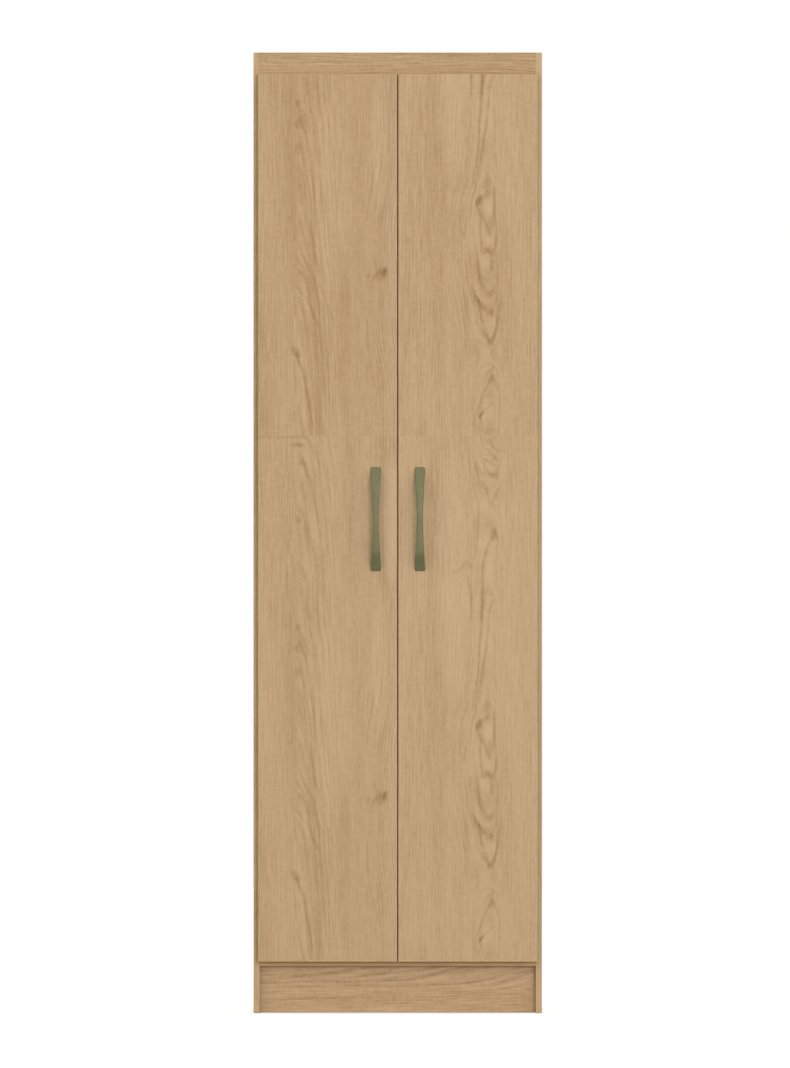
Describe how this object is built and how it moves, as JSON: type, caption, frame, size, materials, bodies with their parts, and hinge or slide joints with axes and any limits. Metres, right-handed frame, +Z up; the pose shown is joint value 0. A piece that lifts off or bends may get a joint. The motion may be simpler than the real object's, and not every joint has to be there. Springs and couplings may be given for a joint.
{
  "type": "wardrobe",
  "caption": "Tall narrow wardrobe with paired overlay doors on concealed hinges, waisted bow handles, hat shelf, hanging rail and set-back plinth.",
  "frame": {"origin": "on the floor, at the middle of the whole outline with its handles", "axes": "+Z up, +X to the right seen from the front, +Y from the doors to the wall behind"},
  "size_m": [0.543, 0.5282, 1.808],
  "materials": {
    "oak_board": "oak-grain melamine facing, satin",
    "oak_door": "oak-grain melamine facing, satin",
    "hardboard": "bare brown hardboard",
    "pale_plastic": "extruded, matt",
    "rail_chrome": "bright plated tube",
    "die_cast_zinc": "as cast",
    "sage_paint": "satin sage green",
    "zinc_plated_steel": "bright zinc plate",
    "clear_grey_rubber": "soft, translucent grey"
  },
  "bodies": {
    "cabinet": {"side_panel_left": "oak_board", "side_panel_right": "oak_board", "top_rail": "oak_board", "plinth": "oak_board", "top_panel": "oak_board", "hat_shelf": "oak_board", "bottom_panel": "oak_board", "back_panel_lower": "hardboard", "back_panel_upper": "hardboard", "back_joint_strip": "pale_plastic", "hanging_rail": "rail_chrome", "rail_socket_left": "die_cast_zinc", "rail_socket_right": "die_cast_zinc", "cam_top_left_front": "die_cast_zinc", "cam_top_left_rear": "die_cast_zinc", "cam_top_right_front": "die_cast_zinc", "cam_top_right_rear": "die_cast_zinc", "cam_hat_left_front": "die_cast_zinc", "cam_hat_left_rear": "die_cast_zinc", "cam_hat_right_front": "die_cast_zinc", "cam_hat_right_rear": "die_cast_zinc", "cam_bottom_left_front": "die_cast_zinc", "cam_bottom_left_rear": "die_cast_zinc", "cam_bottom_right_front": "die_cast_zinc", "cam_bottom_right_rear": "die_cast_zinc", "hinge_arm_left_upper": "zinc_plated_steel", "hinge_arm_left_middle": "zinc_plated_steel", "hinge_arm_left_lower": "zinc_plated_steel", "hinge_arm_right_upper": "zinc_plated_steel", "hinge_arm_right_middle": "zinc_plated_steel", "hinge_arm_right_lower": "zinc_plated_steel", "hinge_plate_left_upper": "zinc_plated_steel", "hinge_plate_left_middle": "zinc_plated_steel", "hinge_plate_left_lower": "zinc_plated_steel", "hinge_plate_right_upper": "zinc_plated_steel", "hinge_plate_right_middle": "zinc_plated_steel", "hinge_plate_right_lower": "zinc_plated_steel"},
    "left_door": {"door_left": "oak_door", "handle_left": "sage_paint", "handle_screw_left_upper": "zinc_plated_steel", "handle_screw_left_lower": "zinc_plated_steel", "door_bumper_left": "clear_grey_rubber", "hinge_cup_left_upper": "zinc_plated_steel", "hinge_cup_left_middle": "zinc_plated_steel", "hinge_cup_left_lower": "zinc_plated_steel", "hinge_pin_left_upper": "zinc_plated_steel", "hinge_pin_left_middle": "zinc_plated_steel", "hinge_pin_left_lower": "zinc_plated_steel"},
    "right_door": {"door_right": "oak_door", "handle_right": "sage_paint", "handle_screw_right_upper": "zinc_plated_steel", "handle_screw_right_lower": "zinc_plated_steel", "door_bumper_right": "clear_grey_rubber", "hinge_cup_right_upper": "zinc_plated_steel", "hinge_cup_right_middle": "zinc_plated_steel", "hinge_cup_right_lower": "zinc_plated_steel", "hinge_pin_right_upper": "zinc_plated_steel", "hinge_pin_right_middle": "zinc_plated_steel", "hinge_pin_right_lower": "zinc_plated_steel"}
  },
  "joints": [
    {"name": "left_door_swing", "type": "hinge", "parent": "cabinet", "child": "left_door", "pos_m": [-0.2555, -0.22835, 0.932], "axis": [0, 0, -1], "range_deg": [0, 100]},
    {"name": "right_door_swing", "type": "hinge", "parent": "cabinet", "child": "right_door", "pos_m": [0.2555, -0.22835, 0.932], "axis": [0, 0, 1], "range_deg": [0, 100]}
  ]
}
